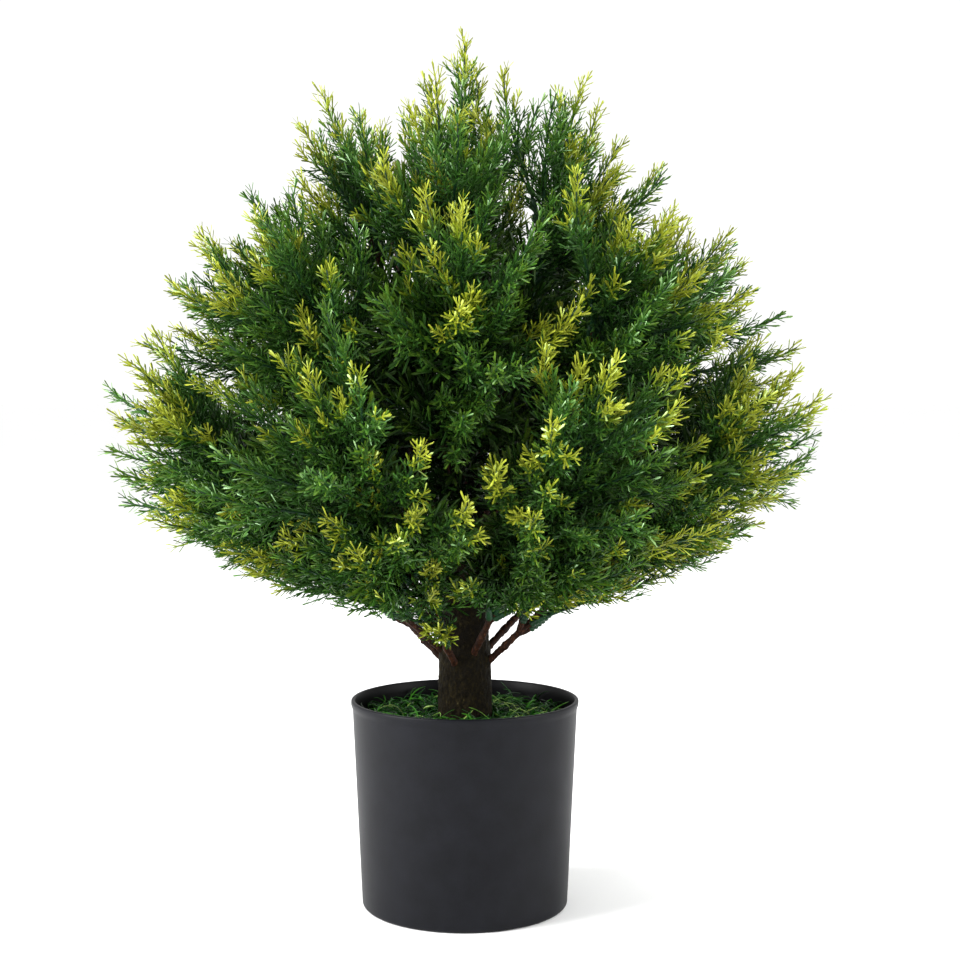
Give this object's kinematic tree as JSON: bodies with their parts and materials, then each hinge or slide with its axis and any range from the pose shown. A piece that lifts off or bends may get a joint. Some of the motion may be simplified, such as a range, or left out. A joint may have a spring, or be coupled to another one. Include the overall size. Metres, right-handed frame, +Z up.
{
  "type": "artificial tabletop tree",
  "caption": "Potted artificial topiary: a rounded dome of cedar sprays on plug-in branches round a short bark-textured trunk, in a plain tapered pot.",
  "frame": {"origin": "centre of the pot's underside, on the surface it stands on", "axes": "+Z up along the trunk, -Y towards the front, +X to the right seen from the front"},
  "size_m": [0.4868, 0.4868, 0.61],
  "materials": {
    "pot_black": "satin",
    "cement": "matte",
    "filler_foam": "matte",
    "grass_green": "matte",
    "bark_brown": "matte",
    "steel": "satin",
    "stem_brown": "matte",
    "cedar_green": "matte"
  },
  "bodies": {
    "planter": {"pot": "pot_black", "ballast": "cement", "filler_foam": "filler_foam", "grass_mat": "grass_green", "core_rod": "steel", "trunk": "bark_brown"},
    "lower_branch_1": {"lower_branch_1_stem": "stem_brown", "lower_branch_1_foliage": "cedar_green"},
    "lower_branch_2": {"lower_branch_2_stem": "stem_brown", "lower_branch_2_foliage": "cedar_green"},
    "lower_branch_3": {"lower_branch_3_stem": "stem_brown", "lower_branch_3_foliage": "cedar_green"},
    "lower_branch_4": {"lower_branch_4_stem": "stem_brown", "lower_branch_4_foliage": "cedar_green"},
    "lower_branch_5": {"lower_branch_5_stem": "stem_brown", "lower_branch_5_foliage": "cedar_green"},
    "lower_branch_6": {"lower_branch_6_stem": "stem_brown", "lower_branch_6_foliage": "cedar_green"},
    "lower_branch_7": {"lower_branch_7_stem": "stem_brown", "lower_branch_7_foliage": "cedar_green"},
    "lower_branch_8": {"lower_branch_8_stem": "stem_brown", "lower_branch_8_foliage": "cedar_green"},
    "middle_branch_1": {"middle_branch_1_stem": "stem_brown", "middle_branch_1_foliage": "cedar_green"},
    "middle_branch_2": {"middle_branch_2_stem": "stem_brown", "middle_branch_2_foliage": "cedar_green"},
    "middle_branch_3": {"middle_branch_3_stem": "stem_brown", "middle_branch_3_foliage": "cedar_green"},
    "middle_branch_4": {"middle_branch_4_stem": "stem_brown", "middle_branch_4_foliage": "cedar_green"},
    "middle_branch_5": {"middle_branch_5_stem": "stem_brown", "middle_branch_5_foliage": "cedar_green"},
    "middle_branch_6": {"middle_branch_6_stem": "stem_brown", "middle_branch_6_foliage": "cedar_green"},
    "middle_branch_7": {"middle_branch_7_stem": "stem_brown", "middle_branch_7_foliage": "cedar_green"},
    "middle_branch_8": {"middle_branch_8_stem": "stem_brown", "middle_branch_8_foliage": "cedar_green"},
    "upper_branch_1": {"upper_branch_1_stem": "stem_brown", "upper_branch_1_foliage": "cedar_green"},
    "upper_branch_2": {"upper_branch_2_stem": "stem_brown", "upper_branch_2_foliage": "cedar_green"},
    "upper_branch_3": {"upper_branch_3_stem": "stem_brown", "upper_branch_3_foliage": "cedar_green"},
    "upper_branch_4": {"upper_branch_4_stem": "stem_brown", "upper_branch_4_foliage": "cedar_green"},
    "upper_branch_5": {"upper_branch_5_stem": "stem_brown", "upper_branch_5_foliage": "cedar_green"},
    "upper_branch_6": {"upper_branch_6_stem": "stem_brown", "upper_branch_6_foliage": "cedar_green"},
    "leader": {"leader_stem": "stem_brown", "leader_foliage": "cedar_green"}
  },
  "joints": [
    {"name": "lower_branch_1_swivel", "type": "hinge", "parent": "planter", "child": "lower_branch_1", "pos_m": [0.01611, 0.00667, 0.18026], "axis": [0.6757, 0.2799, 0.682], "range_deg": [-30, 30]},
    {"name": "lower_branch_2_swivel", "type": "hinge", "parent": "planter", "child": "lower_branch_2", "pos_m": [0.00686, 0.01655, 0.17271], "axis": [0.2799, 0.6757, 0.682], "range_deg": [-30, 30]},
    {"name": "lower_branch_3_swivel", "type": "hinge", "parent": "planter", "child": "lower_branch_3", "pos_m": [-0.00667, 0.01611, 0.18026], "axis": [-0.2799, 0.6757, 0.682], "range_deg": [-30, 30]},
    {"name": "lower_branch_4_swivel", "type": "hinge", "parent": "planter", "child": "lower_branch_4", "pos_m": [-0.01655, 0.00686, 0.17271], "axis": [-0.6757, 0.2799, 0.682], "range_deg": [-30, 30]},
    {"name": "lower_branch_5_swivel", "type": "hinge", "parent": "planter", "child": "lower_branch_5", "pos_m": [-0.01611, -0.00667, 0.18026], "axis": [-0.6757, -0.2799, 0.682], "range_deg": [-30, 30]},
    {"name": "lower_branch_6_swivel", "type": "hinge", "parent": "planter", "child": "lower_branch_6", "pos_m": [-0.00686, -0.01655, 0.17271], "axis": [-0.2799, -0.6757, 0.682], "range_deg": [-30, 30]},
    {"name": "lower_branch_7_swivel", "type": "hinge", "parent": "planter", "child": "lower_branch_7", "pos_m": [0.00667, -0.01611, 0.18026], "axis": [0.2799, -0.6757, 0.682], "range_deg": [-30, 30]},
    {"name": "lower_branch_8_swivel", "type": "hinge", "parent": "planter", "child": "lower_branch_8", "pos_m": [0.01655, -0.00686, 0.17271], "axis": [0.6757, -0.2799, 0.682], "range_deg": [-30, 30]},
    {"name": "middle_branch_1_swivel", "type": "hinge", "parent": "planter", "child": "middle_branch_1", "pos_m": [0.01264, 0, 0.26707], "axis": [0.6428, 0, 0.766], "range_deg": [-30, 30]},
    {"name": "middle_branch_2_swivel", "type": "hinge", "parent": "planter", "child": "middle_branch_2", "pos_m": [0.00894, 0.00894, 0.26707], "axis": [0.4545, 0.4545, 0.766], "range_deg": [-30, 30]},
    {"name": "middle_branch_3_swivel", "type": "hinge", "parent": "planter", "child": "middle_branch_3", "pos_m": [0, 0.01264, 0.26707], "axis": [0, 0.6428, 0.766], "range_deg": [-30, 30]},
    {"name": "middle_branch_4_swivel", "type": "hinge", "parent": "planter", "child": "middle_branch_4", "pos_m": [-0.00894, 0.00894, 0.26707], "axis": [-0.4545, 0.4545, 0.766], "range_deg": [-30, 30]},
    {"name": "middle_branch_5_swivel", "type": "hinge", "parent": "planter", "child": "middle_branch_5", "pos_m": [-0.01264, 0, 0.26707], "axis": [-0.6428, 0, 0.766], "range_deg": [-30, 30]},
    {"name": "middle_branch_6_swivel", "type": "hinge", "parent": "planter", "child": "middle_branch_6", "pos_m": [-0.00894, -0.00894, 0.26707], "axis": [-0.4545, -0.4545, 0.766], "range_deg": [-30, 30]},
    {"name": "middle_branch_7_swivel", "type": "hinge", "parent": "planter", "child": "middle_branch_7", "pos_m": [0, -0.01264, 0.26707], "axis": [0, -0.6428, 0.766], "range_deg": [-30, 30]},
    {"name": "middle_branch_8_swivel", "type": "hinge", "parent": "planter", "child": "middle_branch_8", "pos_m": [0.00894, -0.00894, 0.26707], "axis": [0.4545, -0.4545, 0.766], "range_deg": [-30, 30]},
    {"name": "upper_branch_1_swivel", "type": "hinge", "parent": "planter", "child": "upper_branch_1", "pos_m": [0.00991, 0.00361, 0.30578], "axis": [0.3137, 0.1142, 0.9426], "range_deg": [-30, 30]},
    {"name": "upper_branch_2_swivel", "type": "hinge", "parent": "planter", "child": "upper_branch_2", "pos_m": [0.00183, 0.01039, 0.30578], "axis": [0.058, 0.3287, 0.9426], "range_deg": [-30, 30]},
    {"name": "upper_branch_3_swivel", "type": "hinge", "parent": "planter", "child": "upper_branch_3", "pos_m": [-0.00808, 0.00678, 0.30578], "axis": [-0.2557, 0.2146, 0.9426], "range_deg": [-30, 30]},
    {"name": "upper_branch_4_swivel", "type": "hinge", "parent": "planter", "child": "upper_branch_4", "pos_m": [-0.00991, -0.00361, 0.30578], "axis": [-0.3137, -0.1142, 0.9426], "range_deg": [-30, 30]},
    {"name": "upper_branch_5_swivel", "type": "hinge", "parent": "planter", "child": "upper_branch_5", "pos_m": [-0.00183, -0.01039, 0.30578], "axis": [-0.058, -0.3287, 0.9426], "range_deg": [-30, 30]},
    {"name": "upper_branch_6_swivel", "type": "hinge", "parent": "planter", "child": "upper_branch_6", "pos_m": [0.00808, -0.00678, 0.30578], "axis": [0.2557, -0.2146, 0.9426], "range_deg": [-30, 30]},
    {"name": "leader_swivel", "type": "hinge", "parent": "planter", "child": "leader", "pos_m": [0, 0, 0.402], "axis": [0, 0, 1], "range_deg": [-45, 45]}
  ]
}
